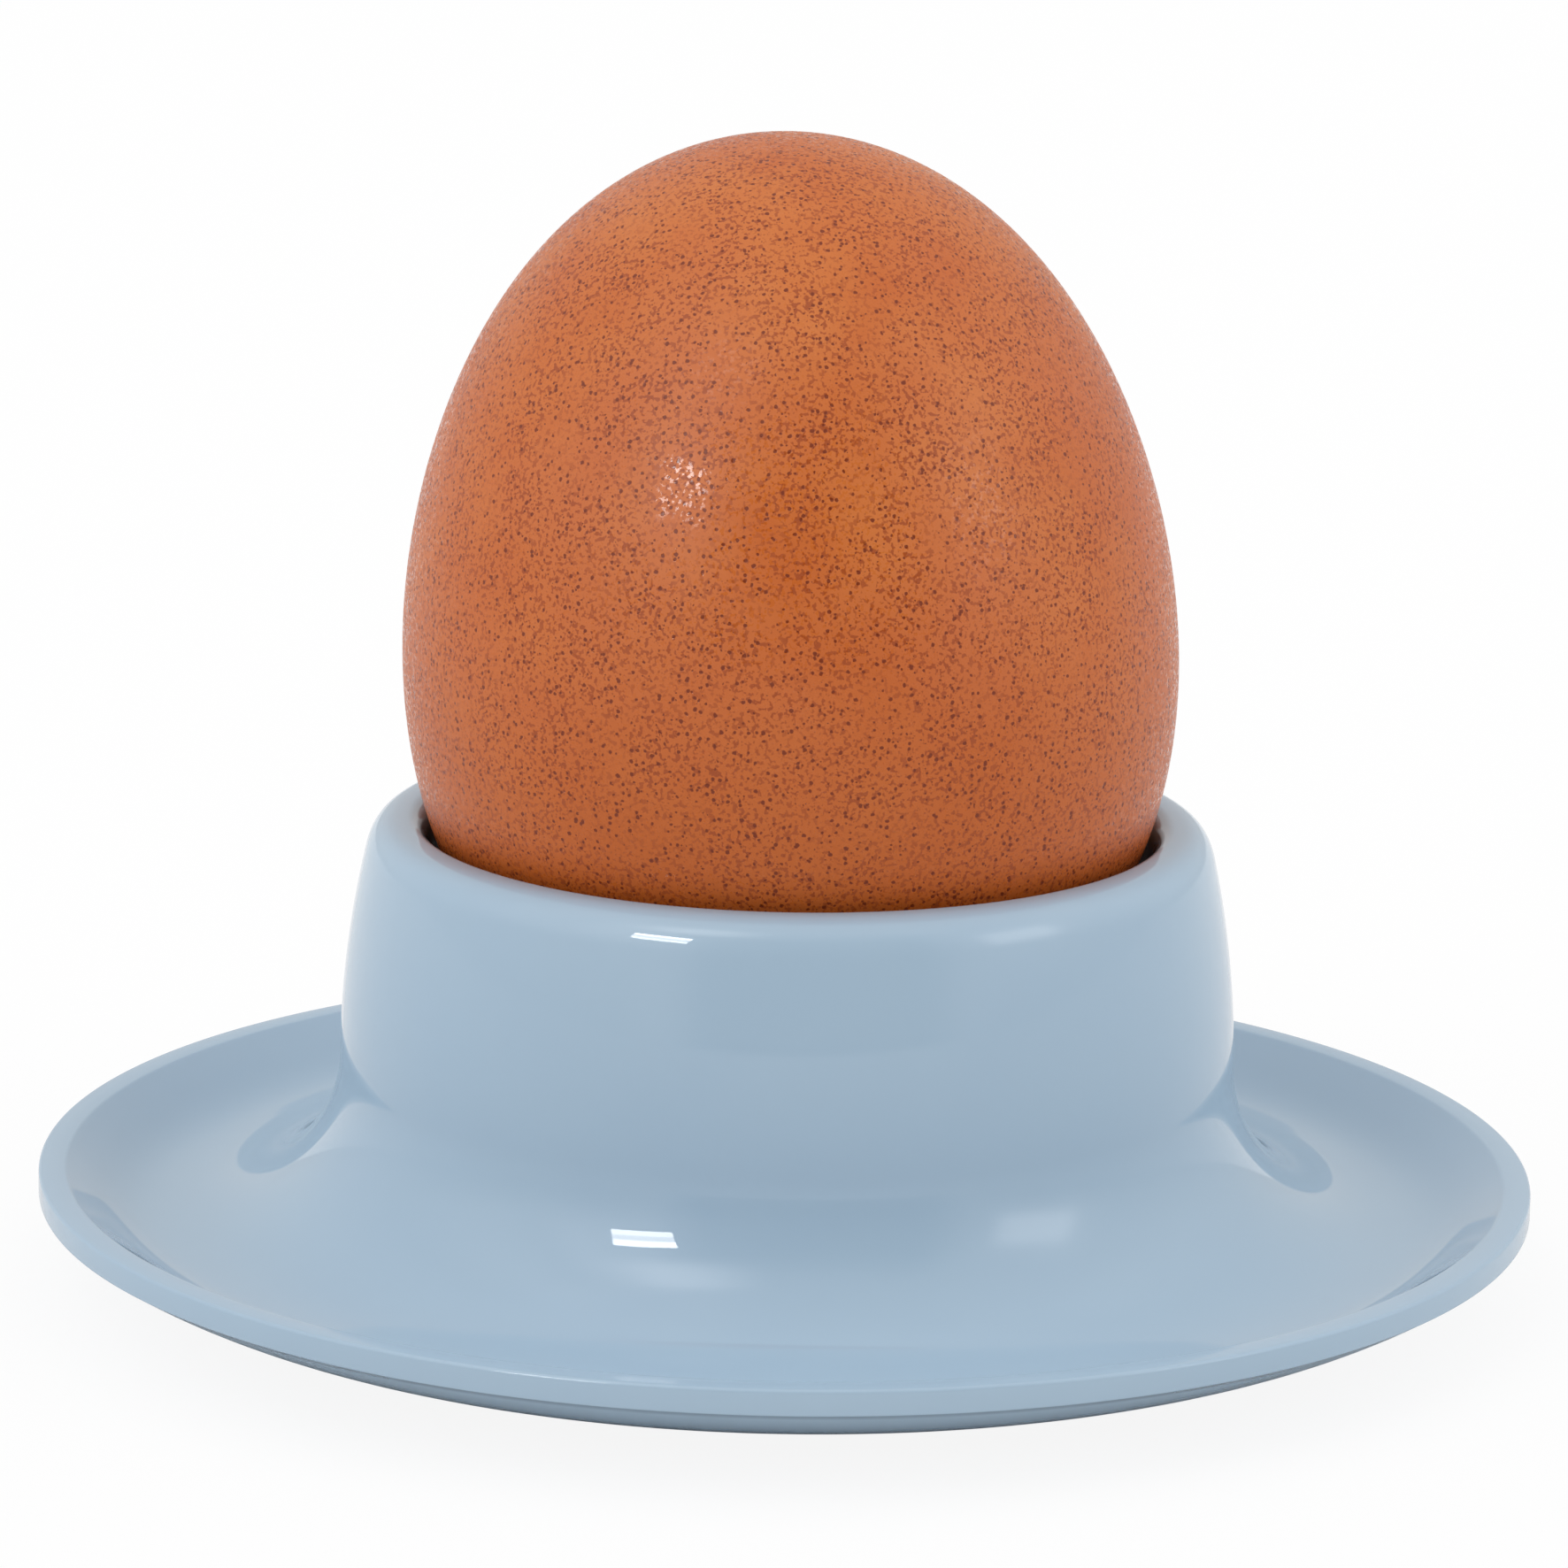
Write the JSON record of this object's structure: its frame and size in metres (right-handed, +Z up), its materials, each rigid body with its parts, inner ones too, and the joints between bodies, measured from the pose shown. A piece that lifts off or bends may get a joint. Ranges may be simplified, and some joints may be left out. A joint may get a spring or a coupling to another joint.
{
  "type": "boiled egg in egg cup",
  "caption": "Boiled brown hen's egg in its shell, pointed end up, standing in a pale blue glazed egg cup with a wide saucer brim that catches shell and crumbs.",
  "frame": {"origin": "on the cup's axis at the level of the foot ring's flat face, where it stands on the table", "axes": "+Z up along the cup's axis, +Y towards the back, +X to the right; the egg's top leans slightly towards -X"},
  "size_m": [0.0842, 0.0842, 0.065],
  "materials": {
    "glaze": "smooth, glossy pale blue glaze over stoneware, all over",
    "eggshell": "orange brown eggshell with a soft sheen, fine pores and dense small dark brown speckles"
  },
  "bodies": {
    "root": {"egg_cup": "glaze", "egg": "eggshell"}
  },
  "joints": []
}
